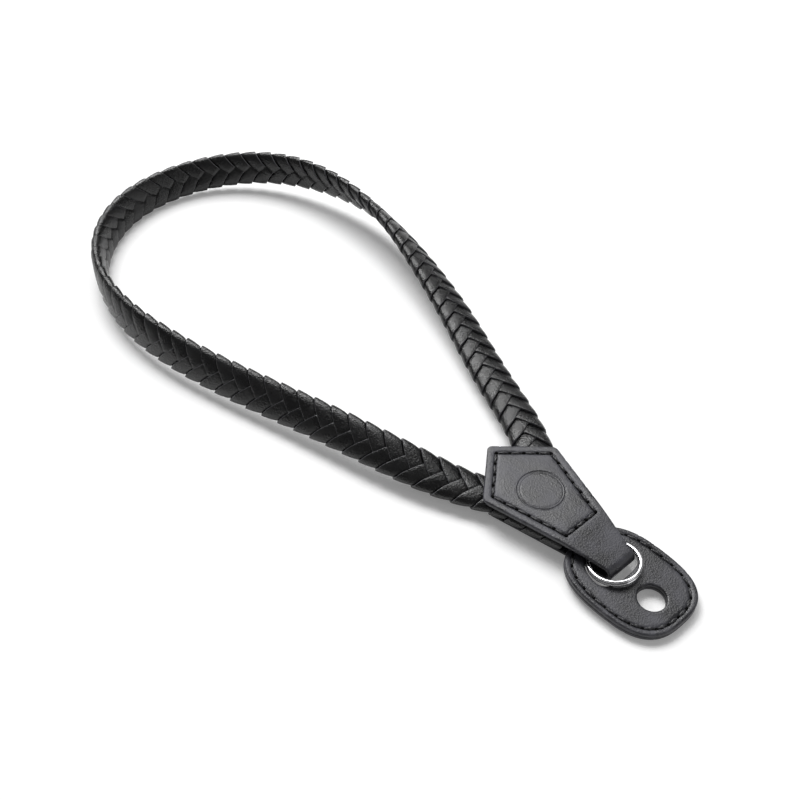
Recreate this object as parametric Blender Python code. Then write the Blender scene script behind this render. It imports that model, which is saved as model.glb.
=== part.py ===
"""Camera wrist strap: a braided leather hand loop, sewn at both ends into a leather end cover.

The cover's tongue folds round a steel split ring and round the bridge of a leather flap, which has a D-shaped
slot for the ring and a round hole for the camera's lug.

Metres, +Z up. The strap lies on a flat surface at z = 0, and +X runs from the hand loop to the flap. The origin
is on the cover's underside, below the middle of the pentagon.
"""

from math import asin, atan, atan2, cos, pi, radians, sin, tan

import bmesh
import bpy
import numpy as np
from mathutils import Vector

MM = 0.001

# Clearances between pieces that lie against each other
STACK_GAP = 0.25 * MM
LAYER_GAP = 0.15 * MM

# End cover, with lengths along X from its tip
ORIGIN_FROM_TIP = 22.0 * MM
COVER_WIDE_AT = 13.5 * MM
COVER_HALF_WIDTH = 15.0 * MM
COVER_LENGTH = 50.9 * MM
COVER_TIP_RADIUS = 1.5 * MM
COVER_CORNER_RADIUS = 2.4 * MM
TONGUE_HALF_WIDTH = 5.2 * MM
TONGUE_LENGTH = 13.4 * MM
TONGUE_DROP = 1.55 * MM
FOLD_RADIUS = 2.55 * MM
LEATHER = 1.2 * MM
LINING = 0.8 * MM
LINING_INSET = 0.6 * MM
UNDER_INSET = 1.8 * MM
UNDER_HALF_WIDTH = 5.0 * MM
UNDER_RISE_LENGTH = 4.4 * MM

# Seams: a thread lying in a pressed groove
SEAM_INSET = 2.7 * MM
SEAM_BEFORE_BEND = 0.3 * MM
GROOVE_WIDTH = 1.0 * MM
GROOVE_DEPTH = 0.7 * MM
THREAD_RADIUS = 0.2 * MM
THREAD_GAP = 0.25 * MM

# Braided band
BAND_HALF_WIDTH = 6.1 * MM
BAND_HALF_THICKNESS = 2.25 * MM
BAND_SQUARENESS = 2.6
BAND_SIDES = 16
LACE_PITCH = 6.0 * MM
LACE_LEAD = 7.5 * MM
LACE_GROOVE = 0.35 * MM
LEAD_FADE = 20.0 * MM
BAND_EDGE_MARGIN = 0.3 * MM
BAND_MEETING_GAP = 0.5 * MM
BAND_BEHIND_FLAP = 1.2 * MM

# Hand loop: how far it reaches behind the cover's tip, and its greatest breadth
LOOP_REACH = 171.0 * MM
LOOP_BREADTH = 94.6 * MM

# Split ring
RING_DIAMETER = 15.4 * MM
WIRE_WIDTH = 1.05 * MM
WIRE_HEIGHT = 0.9 * MM
TURN_GAP = 0.12 * MM
RING_BEHIND_FOLD = 0.3 * MM
RING_SIDE = -0.5 * MM
RING_ABOVE_LEATHER = 1.3 * MM
RING_ABOVE_FLAP = 0.5 * MM
CROSSING = radians(36)
END_GAP = radians(6)

# Flap
BRIDGE_WIDTH = 4.1 * MM
SLOT_GAP = 0.4 * MM
SLOT_AHEAD_OF_FOLD = 1.85 * MM
SLOT_SQUARENESS = 2.5
LUG_HOLE_DIAMETER = 8.0 * MM
LUG_HOLE_FROM_SLOT = 8.9 * MM
FLAP_END_MARGIN = 10.1 * MM
FLAP_HALF_WIDTH = 13.75 * MM
FLAP_BACK_SQUARENESS = 2.5
FLAP_END_SQUARENESS = 2.8
FLAP_SKEW = 0.058
FLAP_LEATHER = 1.3 * MM
FLAP_LINING = 1.35 * MM
FLAP_ABOVE_LEATHER = 0.5 * MM
FLAP_SEAM_INSET = 1.8 * MM

# Heights of the stack at the cover
BAND_HEIGHT = LEATHER + STACK_GAP + BAND_HALF_THICKNESS
LINING_BOTTOM = BAND_HEIGHT + BAND_HALF_THICKNESS + STACK_GAP
COVER_BOTTOM = LINING_BOTTOM + LINING + LAYER_GAP
COVER_TOP = COVER_BOTTOM + LEATHER
FOLD_HEIGHT = COVER_TOP - TONGUE_DROP - FOLD_RADIUS

# Places along X from the cover's tip that follow from the fold
TONGUE_BEND_AT = COVER_LENGTH - TONGUE_LENGTH
SEAM_END_AT = TONGUE_BEND_AT - SEAM_BEFORE_BEND
RING_AT = COVER_LENGTH - RING_BEHIND_FOLD
SLOT_RADIUS = RING_DIAMETER / 2 + SLOT_GAP
SLOT_FRONT_AT = COVER_LENGTH + FOLD_RADIUS + SLOT_AHEAD_OF_FOLD
FLAP_BACK_AT = RING_AT - SLOT_RADIUS - BRIDGE_WIDTH
LUG_HOLE_AT = SLOT_FRONT_AT + LUG_HOLE_FROM_SLOT
FLAP_LENGTH = LUG_HOLE_AT + FLAP_END_MARGIN - FLAP_BACK_AT
BAND_END_AT = FLAP_BACK_AT - BAND_BEHIND_FLAP

# The flap hinges on its back edge, and slopes from there until its far end touches the surface
FLAP_BACK_HEIGHT = LEATHER + FLAP_ABOVE_LEATHER
FLAP_TILT = asin(FLAP_BACK_HEIGHT / FLAP_LENGTH)
FLAP_THICKNESS = FLAP_LINING + LAYER_GAP + FLAP_LEATHER
WIRE_RADIUS = (RING_DIAMETER - WIRE_WIDTH) / 2
RING_HALF_HEIGHT = WIRE_HEIGHT + TURN_GAP / 2


def x_at(from_tip):
    """World x of a place measured from the cover's tip."""
    return from_tip - ORIGIN_FROM_TIP


def clear_scene():
    for obj in list(bpy.data.objects):
        bpy.data.objects.remove(obj)


def material(name, colour, roughness, metallic=0.0):
    made = bpy.data.materials.new(name)
    made.use_nodes = True
    shader = made.node_tree.nodes["Principled BSDF"]
    shader.inputs["Base Color"].default_value = (*colour, 1.0)
    shader.inputs["Roughness"].default_value = roughness
    shader.inputs["Metallic"].default_value = metallic
    return made


def skin(name, rings, look=None, closed=False, parent=None):
    """One closed body through rings of points; its ends are filled unless it closes on itself."""
    bm = bmesh.new()
    loops = [[bm.verts.new(point) for point in ring] for ring in rings]
    pairs = list(zip(loops, loops[1:]))
    if closed:
        pairs.append((loops[-1], loops[0]))
    else:
        bm.faces.new(loops[0])
        bm.faces.new(loops[-1])
    count = len(loops[0])
    for here, there in pairs:
        for k in range(count):
            nxt = (k + 1) % count
            bm.faces.new((here[k], here[nxt], there[nxt], there[k]))
    bmesh.ops.recalc_face_normals(bm, faces=bm.faces)
    mesh = bpy.data.meshes.new(name)
    bm.to_mesh(mesh)
    bm.free()
    mesh.shade_smooth()
    mesh.set_sharp_from_angle(angle=radians(35))
    if look:
        mesh.materials.append(look)
    obj = bpy.data.objects.new(name, mesh)
    bpy.context.collection.objects.link(obj)
    obj.parent = parent
    return obj


def prism(name, outline, low, high, look=None, parent=None):
    """An outline in the XY plane, made solid between two heights."""
    rings = [[(x, y, z) for x, y in outline] for z in (low, high)]
    return skin(name, rings, look, parent=parent)


def cut(target, cutter):
    """Cut one body with another, which then only guides the cut."""
    cutter.hide_render = True
    cutter.display_type = "WIRE"
    boolean = target.modifiers.new(cutter.name, "BOOLEAN")
    boolean.operation = "DIFFERENCE"
    boolean.object = cutter


def rounded(corners, radii, steps=4):
    """A closed outline with each corner replaced by an arc of its radius, where its sides leave room."""
    outline = []
    for i, radius in enumerate(radii):
        corner = Vector(corners[i])
        back = Vector(corners[i - 1]) - corner
        ahead = Vector(corners[(i + 1) % len(corners)]) - corner
        half = back.angle(ahead) / 2
        reach = min(radius / tan(half), 0.45 * back.length, 0.45 * ahead.length)
        if reach <= 0:
            outline.append(tuple(corner))
            continue
        start = corner + back.normalized() * reach
        end = corner + ahead.normalized() * reach
        centre = corner + (back.normalized() + ahead.normalized()).normalized() * reach / cos(half)
        for k in range(steps + 1):
            spoke = (start - centre).slerp(end - centre, k / steps)
            outline.append(tuple(centre + spoke.normalized() * reach * tan(half)))
    return outline


def cover_side(inset):
    """Half of the cover's outline, set in by inset: (distance from the tip, half-width), tip first."""
    slope = atan2(COVER_HALF_WIDTH, COVER_WIDE_AT)
    taper = atan2(COVER_HALF_WIDTH - TONGUE_HALF_WIDTH, COVER_LENGTH - COVER_WIDE_AT)
    tip = inset / sin(slope)
    end_half = TONGUE_HALF_WIDTH - inset / cos(taper)
    wide = (end_half + COVER_LENGTH * tan(taper) + tip * tan(slope)) / (tan(slope) + tan(taper))
    wide_half = (wide - tip) * tan(slope)
    corners = [(tip, 0), (wide, -wide_half), (COVER_LENGTH, -end_half), (COVER_LENGTH, end_half), (wide, wide_half)]
    outline = rounded(corners, [COVER_TIP_RADIUS, COVER_CORNER_RADIUS, 0, 0, COVER_CORNER_RADIUS])
    return sorted(point for point in outline if point[1] > 0.1 * MM)


def half_at(side, place):
    """Half-width of one of the cover's outlines at a distance from the tip."""
    return float(np.interp(place, [u for u, _ in side], [half for _, half in side]))


def cover_outline(inset, end):
    """The whole closed outline of a layer of the cover, cut off square at a distance from the tip."""
    side = cover_side(inset)
    half = [point for point in side if point[0] < end] + [(end, half_at(side, end))]
    return [(x_at(u), y) for u, y in half] + [(x_at(u), -y) for u, y in reversed(half)]


def seam_rings(outline, height, profile):
    """Rings of a profile of (outward, upward) points, carried round a closed outline."""
    points = np.array(outline)
    ahead = np.roll(points, -1, axis=0) - points
    ahead /= np.linalg.norm(ahead, axis=1)[:, None]
    along = ahead + np.roll(ahead, 1, axis=0)
    along /= np.linalg.norm(along, axis=1)[:, None]
    outward = np.column_stack([along[:, 1], -along[:, 0]]) / np.sum(along * ahead, axis=1)[:, None]
    return [[(x + a * nx, y + a * ny, height + b) for a, b in profile] for (x, y), (nx, ny) in zip(points, outward)]


def seam(name, leather, outline, surface, up, look, parent=None):
    """Press a groove into a leather's face along an outline and lay the thread in it; up is 1 or -1."""
    across = GROOVE_WIDTH / 2
    groove = [(-across, -GROOVE_DEPTH), (across, -GROOVE_DEPTH), (across, GROOVE_DEPTH), (-across, GROOVE_DEPTH)]
    cutter = skin(name + "_groove", seam_rings(outline, surface, groove), closed=True, parent=parent)
    cut(leather, cutter)
    turns = [2 * pi * k / 6 for k in range(6)]
    circle = [(THREAD_RADIUS * cos(turn), THREAD_RADIUS * sin(turn)) for turn in turns]
    height = surface - up * (GROOVE_DEPTH - THREAD_GAP - THREAD_RADIUS)
    skin(name, seam_rings(outline, height, circle), look, closed=True, parent=parent)


def end_cover(look):
    """One strip: pentagon, tongue, fold and under leather, swept along its middle line."""
    half_leather = LEATHER / 2
    fold = Vector((COVER_LENGTH, FOLD_HEIGHT))
    reach = FOLD_RADIUS - half_leather
    top_z = COVER_TOP - half_leather
    bend = Vector((TONGUE_BEND_AT, top_z))
    rise = Vector((COVER_LENGTH - UNDER_RISE_LENGTH, half_leather))
    down = fold - bend
    top_slope = atan2(down.y, down.x) + asin(reach / down.length)
    up = fold - rise
    under_slope = atan2(up.y, up.x) - asin(reach / up.length)
    turns = np.linspace(top_slope + pi / 2, under_slope - pi / 2, 12)
    arc = [fold + Vector((cos(turn), sin(turn))) * reach for turn in turns]

    side = cover_side(0)
    top = [(u, half) for u, half in side if u < TONGUE_BEND_AT]
    stations = [((u, top_z), half) for u, half in top]
    stations.append((tuple(bend), half_at(side, TONGUE_BEND_AT)))
    stations += [(tuple(point), TONGUE_HALF_WIDTH) for point in arc]
    under = cover_side(UNDER_INSET)
    narrow = COVER_LENGTH - UNDER_RISE_LENGTH
    stations.append((tuple(rise), UNDER_HALF_WIDTH))
    places = [u for u, half in under if u < narrow and half > UNDER_HALF_WIDTH or u < COVER_WIDE_AT]
    widening = next(u for u in np.arange(narrow, 0, -0.1 * MM) if half_at(under, u) >= UNDER_HALF_WIDTH)
    for u in [widening] + sorted(places, reverse=True):
        stations.append(((u, half_leather), half_at(under, u)))

    path = np.array([place for place, _ in stations])
    step = np.diff(path, axis=0)
    step /= np.linalg.norm(step, axis=1)[:, None]
    before = np.vstack([step[:1], step])
    along = before + np.vstack([step, step[-1:]])
    along /= np.linalg.norm(along, axis=1)[:, None]
    mitre = np.sum(along * before, axis=1)
    rings = []
    for (u, z), (du, dz), scale, (_, half) in zip(path, along, mitre, stations):
        out_u, out_z = -dz * half_leather / scale, du * half_leather / scale
        corners = ((-1, 1), (1, 1), (1, -1), (-1, -1))
        rings.append([(x_at(u) + face * out_u, lateral * half, z + face * out_z) for lateral, face in corners])
    return skin("end_cover", rings, look)


def natural_spline(knots, values):
    """A smooth curve through values at knots, as a function of the place along it."""
    gaps = np.diff(knots)
    count = len(knots)
    system = np.eye(count)
    right = np.zeros_like(values)
    for i in range(1, count - 1):
        system[i, i - 1 : i + 2] = gaps[i - 1], 2 * (gaps[i - 1] + gaps[i]), gaps[i]
        right[i] = 6 * ((values[i + 1] - values[i]) / gaps[i] - (values[i] - values[i - 1]) / gaps[i - 1])
    bend = np.linalg.solve(system, right)

    def at(place):
        i = int(np.clip(np.searchsorted(knots, place) - 1, 0, count - 2))
        before, after = place - knots[i], knots[i + 1] - place
        curve = (bend[i] * after**3 + bend[i + 1] * before**3) / (6 * gaps[i])
        start = (values[i] / gaps[i] - bend[i] * gaps[i] / 6) * after
        end = (values[i + 1] / gaps[i] - bend[i + 1] * gaps[i] / 6) * before
        return curve + start + end

    return at


def covered_point(place, arm):
    """The band's middle, its lean and its half-width inside the cover; arm is 1 for the back arm, -1 for the front."""
    side = cover_side(0)
    limit = half_at(side, place) - BAND_EDGE_MARGIN
    taper = atan2(COVER_HALF_WIDTH - TONGUE_HALF_WIDTH, COVER_LENGTH - COVER_WIDE_AT)
    half = min(BAND_HALF_WIDTH, (limit - BAND_MEETING_GAP / 2) / 2 * cos(taper))
    return (x_at(place), arm * (limit - half / cos(taper)), BAND_HEIGHT, 0.0, half)


def loop_point(x, y, lean, lift):
    """A point of the free loop in units of its reach and half breadth; its height follows from its lean and lift."""
    power = BAND_SQUARENESS / (BAND_SQUARENESS - 1)
    tall = (BAND_HALF_WIDTH * abs(sin(radians(lean)))) ** power
    flat = (BAND_HALF_THICKNESS * abs(cos(radians(lean)))) ** power
    z = lift * MM + (tall + flat) ** (1 / power)
    return (x_at(x * LOOP_REACH), y * LOOP_BREADTH / 2, z, radians(lean), BAND_HALF_WIDTH)


def band_route():
    """The band's middle line: anticlockwise from inside the cover, round the loop and back into it.

    Each free point is (along the reach, across the half breadth, lean in degrees, lift in millimetres), where a
    lean of 0 lies flat and 90 stands on edge with the outer face outwards.
    """
    inside = [BAND_END_AT, BAND_END_AT - 6 * MM, ORIGIN_FROM_TIP, COVER_WIDE_AT + 1.5 * MM]
    free = [
        (0.042, 0.258, 1, 1.5), (-0.112, 0.474, 4, 1.5), (-0.268, 0.672, 14, 2.7), (-0.427, 0.835, 32, 4.2),
        (-0.588, 0.932, 56, 5.1), (-0.747, 0.886, 83, 4.7), (-0.888, 0.668, 106, 2.7), (-0.985, 0.201, 117, 0.5),
        (-0.986, -0.406, 113, 0.1), (-0.883, -0.869, 99, 0.8), (-0.727, -1.063, 78, 2.1),
        (-0.559, -1.015, 62, 2.4), (-0.399, -0.850, 52, 2.2), (-0.242, -0.660, 43, 2.8), (-0.085, -0.474, 29, 3.0),
        (0.050, -0.239, 1, 1.5),
    ]
    points = [covered_point(place, 1) for place in inside]
    points += [loop_point(*point) for point in free]
    points += [covered_point(place, -1) for place in reversed(inside)]
    route = np.array(points)
    knots = np.concatenate([[0], np.cumsum(np.linalg.norm(np.diff(route[:, :3], axis=0), axis=1))])
    return natural_spline(knots, route), float(knots[-1])


def band_frame(route, length, place):
    """Middle, width direction, outward direction and half-width of the band at a place along it."""
    place = min(max(place, 0.0), length)
    step = 0.2 * MM
    here = route(place)
    ahead = Vector((route(min(place + step, length)) - route(max(place - step, 0.0)))[:3]).normalized()
    inward = Vector((0, 0, 1)).cross(ahead).normalized()
    up = ahead.cross(inward)
    lean = here[3]
    return Vector(here[:3]), inward * cos(lean) + up * sin(lean), up * cos(lean) - inward * sin(lean), here[4]


def braided_band(look):
    """The band as one body whose cross-sections are bent into the braid's chevrons and waisted between laces."""
    route, length = band_route()
    laces = round(length / LACE_PITCH)
    section = []
    for k in range(BAND_SIDES):
        turn = 2 * pi * k / BAND_SIDES
        power = 2 / BAND_SQUARENESS
        across = abs(cos(turn)) ** power * np.sign(cos(turn))
        out = abs(sin(turn)) ** power * np.sign(sin(turn))
        section.append((float(across), float(out)))
    rings = []
    for i in range(2 * laces + 1):
        place = length * i / (2 * laces)
        fade = min(1.0, min(place, length - place) / LEAD_FADE)
        lead = LACE_LEAD * fade * fade * (3 - 2 * fade)
        waist = LACE_GROOVE * (i % 2 == 0)
        ring = []
        for across, out in section:
            shift = lead * (1 - abs(across)) * np.sign(out)
            middle, width, outward, half = band_frame(route, length, place + shift)
            ring.append(middle + width * across * (half - waist) + outward * out * (BAND_HALF_THICKNESS - waist))
        rings.append(ring)
    return skin("braided_band", rings, look)


def split_ring(look, parent):
    """Two flat turns of wire joined by a crossing, about the ring's own axis."""
    wide, high = WIRE_WIDTH / 2, WIRE_HEIGHT / 2
    bevel = 0.45 * min(wide, high)
    section = [(wide, high - bevel), (wide - bevel, high), (bevel - wide, high), (-wide, high - bevel)]
    section += [(-a, -b) for a, b in section]
    first = CROSSING / 2 + END_GAP
    rings = []
    for turn in np.linspace(first, 4 * pi - first, 81):
        climb = min(max((turn - 2 * pi + CROSSING / 2) / CROSSING, 0.0), 1.0)
        level = (climb * climb * (3 - 2 * climb) - 0.5) * (WIRE_HEIGHT + TURN_GAP)
        spoke = (-cos(turn), -sin(turn))
        rings.append([(spoke[0] * (WIRE_RADIUS + a), spoke[1] * (WIRE_RADIUS + a), level + b) for a, b in section])
    return skin("split_ring", rings, look, parent=parent)


def squared_oval(centre, back, ahead, wide, back_squareness, ahead_squareness, count):
    """An oval round a point on the x axis, with its own length and squareness behind and ahead of that point."""
    outline = []
    for k in range(count):
        turn = 2 * pi * k / count
        long, squareness = (ahead, ahead_squareness) if cos(turn) > 0 else (back, back_squareness)
        x = long * abs(cos(turn)) ** (2 / squareness) * np.sign(cos(turn))
        y = wide * abs(sin(turn)) ** (2 / squareness) * np.sign(sin(turn))
        outline.append((centre + float(x), float(y)))
    return outline


def flap_outline(inset):
    """The flap's outline in its own frame, whose x runs from the middle of its back edge."""
    long = FLAP_LENGTH / 2 - inset
    wide = FLAP_HALF_WIDTH - inset
    middle = FLAP_LENGTH / 2
    oval = squared_oval(middle, long, long, wide, FLAP_BACK_SQUARENESS, FLAP_END_SQUARENESS, 44)
    return [(x, y + FLAP_SKEW * (x - middle)) for x, y in oval]


def flap(look, thread, parent):
    """Two leathers with the ring's slot and the lug hole through both, sewn round their edge."""
    ring = (RING_AT - FLAP_BACK_AT) / cos(FLAP_TILT)
    front = (SLOT_FRONT_AT - FLAP_BACK_AT) / cos(FLAP_TILT)
    slot = squared_oval(ring, SLOT_RADIUS, front - ring, SLOT_RADIUS, 2.0, SLOT_SQUARENESS, 36)
    hole_x = (LUG_HOLE_AT - FLAP_BACK_AT) / cos(FLAP_TILT)
    radius = LUG_HOLE_DIAMETER / 2
    hole = [(hole_x + radius * cos(2 * pi * k / 32), radius * sin(2 * pi * k / 32)) for k in range(32)]
    split = FLAP_LINING + LAYER_GAP
    lower = prism("flap_lining", flap_outline(0), 0, FLAP_LINING, look, parent)
    upper = prism("flap_leather", flap_outline(0), split, FLAP_THICKNESS, look, parent)
    for name, outline in (("ring_slot", slot), ("lug_hole", hole)):
        cutter = prism(name, outline, -FLAP_THICKNESS, 2 * FLAP_THICKNESS, parent=parent)
        cut(lower, cutter)
        cut(upper, cutter)
    seam_line = flap_outline(FLAP_SEAM_INSET)
    seam("flap_thread", upper, seam_line, FLAP_THICKNESS, 1, thread, parent)
    seam("flap_thread_under", lower, seam_line, 0, -1, thread, parent)


def pivot(name, location, tilt):
    """An empty that carries a moving piece, with its Y axis across the strap."""
    made = bpy.data.objects.new(name, None)
    made.empty_display_size = 5 * MM
    made.location = location
    made.rotation_euler = (0, tilt, 0)
    bpy.context.collection.objects.link(made)
    return made


def build():
    clear_scene()
    leather = material("black_leather", (0.018, 0.018, 0.019), 0.42)
    braid = material("black_lace_leather", (0.015, 0.015, 0.016), 0.38)
    thread = material("black_thread", (0.01, 0.01, 0.011), 0.7)
    steel = material("polished_steel", (0.75, 0.75, 0.76), 0.18, 1.0)

    cover = end_cover(leather)
    prism("cover_lining", cover_outline(LINING_INSET, TONGUE_BEND_AT - LAYER_GAP), LINING_BOTTOM,
          LINING_BOTTOM + LINING, leather)
    seam_line = cover_outline(SEAM_INSET, SEAM_END_AT)
    seam("cover_thread", cover, seam_line, COVER_TOP, 1, thread)
    seam("cover_thread_under", cover, seam_line, 0, -1, thread)
    braided_band(braid)

    flap_pivot = pivot("flap_pivot", (x_at(FLAP_BACK_AT), RING_SIDE, FLAP_BACK_HEIGHT), FLAP_TILT)
    flap(leather, thread, flap_pivot)

    slot_front = SLOT_FRONT_AT - FLAP_BACK_AT
    flap_top = FLAP_BACK_HEIGHT - slot_front * tan(FLAP_TILT) + FLAP_THICKNESS
    rear_at = RING_AT - WIRE_RADIUS
    rear_height = LEATHER + RING_ABOVE_LEATHER + RING_HALF_HEIGHT
    rise = flap_top + RING_ABOVE_FLAP + RING_HALF_HEIGHT - rear_height
    tilt = atan(rise / (SLOT_FRONT_AT - rear_at))
    centre = (x_at(RING_AT), RING_SIDE, rear_height + WIRE_RADIUS * sin(tilt))
    split_ring(steel, pivot("ring_pivot", centre, -tilt))


build()
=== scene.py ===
# %% [markdown]
# # A camera wrist strap in braided leather
# The solids of the strap are already made to measure. This notebook dresses them: it weaves the laces of the
# hand loop, presses the seams into the leather, sews the stitches and coils the split ring. The solids come
# first, because every piece is placed against them and moves with one of their bodies.

# %% Load the solids
from math import asin, atan, atan2, cos, degrees, pi, radians, sin, tan

import bmesh
import bpy
import numpy as np
from mathutils import Euler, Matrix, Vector
from mathutils.geometry import delaunay_2d_cdt


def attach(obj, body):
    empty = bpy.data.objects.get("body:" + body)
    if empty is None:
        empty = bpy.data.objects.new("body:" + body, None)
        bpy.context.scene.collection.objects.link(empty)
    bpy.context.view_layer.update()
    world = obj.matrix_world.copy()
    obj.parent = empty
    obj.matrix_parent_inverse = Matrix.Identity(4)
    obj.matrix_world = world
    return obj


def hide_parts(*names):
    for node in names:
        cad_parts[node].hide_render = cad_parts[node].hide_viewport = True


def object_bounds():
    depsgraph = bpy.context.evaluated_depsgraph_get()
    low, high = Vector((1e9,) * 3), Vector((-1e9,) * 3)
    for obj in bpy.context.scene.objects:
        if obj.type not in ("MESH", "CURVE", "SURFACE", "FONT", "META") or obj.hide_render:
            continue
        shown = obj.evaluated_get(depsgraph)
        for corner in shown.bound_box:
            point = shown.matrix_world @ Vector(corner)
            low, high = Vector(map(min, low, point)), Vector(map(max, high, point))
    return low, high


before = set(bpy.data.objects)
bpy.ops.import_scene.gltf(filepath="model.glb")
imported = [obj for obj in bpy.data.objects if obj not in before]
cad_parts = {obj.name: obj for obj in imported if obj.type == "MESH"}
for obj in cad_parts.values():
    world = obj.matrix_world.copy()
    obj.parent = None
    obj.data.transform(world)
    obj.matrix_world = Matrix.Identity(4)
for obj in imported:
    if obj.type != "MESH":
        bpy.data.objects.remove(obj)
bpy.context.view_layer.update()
MM = 0.001

# %% [markdown]
# ## The camera
# The strap lies on a table and is seen from beyond its flap and from well above, as it looks to someone who
# stands at the table. The field of view is 40 degrees, so near parts look a little larger than far ones.

# %% Place the camera
FIELD_OF_VIEW = radians(40)
CAMERA_PLACE = Vector((116.93, -155.15, 257.78)) * MM
CAMERA_TARGET = Vector((-58.13, -2.74, 0)) * MM
camera = bpy.data.objects.new("camera", bpy.data.cameras.new("camera"))
camera.data.angle = FIELD_OF_VIEW
camera.data.clip_start = 0.01
camera.location = CAMERA_PLACE
camera.rotation_euler = (CAMERA_TARGET - CAMERA_PLACE).to_track_quat("-Z", "Y").to_euler()
bpy.context.collection.objects.link(camera)
bpy.context.scene.camera = camera
print("camera distance", round((CAMERA_TARGET - CAMERA_PLACE).length, 3), "m")

# %% [markdown]
# ## Small helpers for node trees
# Materials and Geometry Nodes are both trees of nodes. One function adds a node and fills its inputs, each
# with a plain value, an output socket, or a whole node, which stands for its first output. Another turns a
# web colour into the linear values that the renderer works with.

# %% Helpers for node trees
def fill(node, inputs):
    """Fill or link inputs, given by name or number."""
    for key, value in inputs.items():
        if isinstance(value, bpy.types.Node):
            value = next(socket for socket in value.outputs if socket.enabled)
        if isinstance(value, bpy.types.NodeSocket):
            node.id_data.links.new(value, node.inputs[key])
        else:
            node.inputs[key].default_value = value


def add(tree, kind, inputs=None, **settings):
    """Add a node with its settings and filled inputs."""
    node = tree.nodes.new(kind)
    for key, value in settings.items():
        setattr(node, key, value)
    fill(node, inputs or {})
    return node


def linear(code):
    """An sRGB hex colour as linear red, green, blue and alpha."""
    parts = [int(code[i : i + 2], 16) / 255 for i in (1, 3, 5)]
    return tuple(c / 12.92 if c <= 0.04045 else ((c + 0.055) / 1.055) ** 2.4 for c in parts) + (1.0,)


def new_material(name):
    """An empty material with its Principled shader and its output, joined."""
    made = bpy.data.materials.new(name)
    made.use_nodes = True
    tree = made.node_tree
    tree.nodes.clear()
    shader = add(tree, "ShaderNodeBsdfPrincipled")
    add(tree, "ShaderNodeOutputMaterial", {"Surface": shader})
    return made, tree, shader


# %% [markdown]
# ## Smooth black leather
# The end cover and the flap are full-grain cowhide, dyed black, with a satin top coat. Low cells and pores
# about half a millimetre across tilt the highlights. Broad soft clouds, where the hide took dye and finish
# unevenly, change its colour and its roughness.

# %% Black satin leather
LEATHER_GRAIN = 0.5 * MM
leather, tree, shader = new_material("black_satin_cowhide")
place = add(tree, "ShaderNodeTexCoord").outputs["Object"]
cells = add(tree, "ShaderNodeTexVoronoi", {"Vector": place, "Scale": 1 / LEATHER_GRAIN}, feature="F1")
pores = add(tree, "ShaderNodeTexNoise",
            {"Vector": place, "Scale": 1 / LEATHER_GRAIN, "Detail": 4.0, "Roughness": 0.7})
height = add(tree, "ShaderNodeMix", {"Factor": 0.4, "A": cells, "B": pores})
bump = add(tree, "ShaderNodeBump", {"Height": height, "Strength": 0.6, "Distance": 0.16 * MM})
clouds = add(tree, "ShaderNodeTexNoise", {"Vector": place, "Scale": 1 / (7 * MM), "Detail": 4.0})
uneven = add(tree, "ShaderNodeMapRange", {"Value": clouds, "From Min": 0.35, "From Max": 0.65})
dye = add(tree, "ShaderNodeMix", {"Factor": uneven, "A": linear("#1c1c1f"), "B": linear("#47474d")},
          data_type="RGBA")
satin = add(tree, "ShaderNodeMapRange", {"Value": uneven, "To Min": 0.34, "To Max": 0.50})
fill(shader, {"Base Color": dye, "Roughness": satin, "Normal": bump})
print("leather grain", round(LEATHER_GRAIN / MM, 2), "mm")

# %% [markdown]
# ## Lace leather
# The laces are narrow strips of the same hide, rolled smoother by the braiding. Their cut edges show the
# hide's paler inside as a thin grey line: the mesh carries an attribute named cut that is 1 there. A second
# attribute, shade, is a random number for each lace. It makes some laces a little darker and rougher: painted
# shade that stands in for the different light each lace catches at its own tilt.

# %% Black lace leather
lace_leather, tree, shader = new_material("black_lace_cowhide")
place = add(tree, "ShaderNodeTexCoord").outputs["Object"]
cut_edge = add(tree, "ShaderNodeAttribute", attribute_name="cut").outputs["Fac"]
shade = add(tree, "ShaderNodeAttribute", attribute_name="shade").outputs["Fac"]
cells = add(tree, "ShaderNodeTexVoronoi", {"Vector": place, "Scale": 1 / LEATHER_GRAIN}, feature="F1")
pores = add(tree, "ShaderNodeTexNoise",
            {"Vector": place, "Scale": 1 / (2 * LEATHER_GRAIN), "Detail": 6.0, "Roughness": 0.75})
height = add(tree, "ShaderNodeMix", {"Factor": 0.6, "A": cells, "B": pores})
bump = add(tree, "ShaderNodeBump", {"Height": height, "Strength": 0.7, "Distance": 0.32 * MM})
# Painted shade: the shade attribute darkens some laces at random, in place of the light each one catches at
# its tilt.
hide_and_tilt_shade = add(tree, "ShaderNodeMix", {"Factor": shade, "A": linear("#060607"), "B": linear("#101011")},
           data_type="RGBA")
dye = add(tree, "ShaderNodeMix", {"Factor": cut_edge, "A": hide_and_tilt_shade, "B": linear("#545457")}, data_type="RGBA")
clouds = add(tree, "ShaderNodeTexNoise", {"Vector": place, "Scale": 1 / (3 * MM), "Detail": 5.0})
satin = add(tree, "ShaderNodeMapRange",
            {"Value": clouds, "From Min": 0.3, "From Max": 0.7, "To Min": 0.18, "To Max": 0.32})
satin_and_lace_shade = add(tree, "ShaderNodeMath", {0: shade, 1: 0.08, 2: satin}, operation="MULTIPLY_ADD")
fill(shader, {"Base Color": dye, "Roughness": satin_and_lace_shade, "Normal": bump})
print("lace leather:", len(tree.nodes), "nodes")
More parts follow.
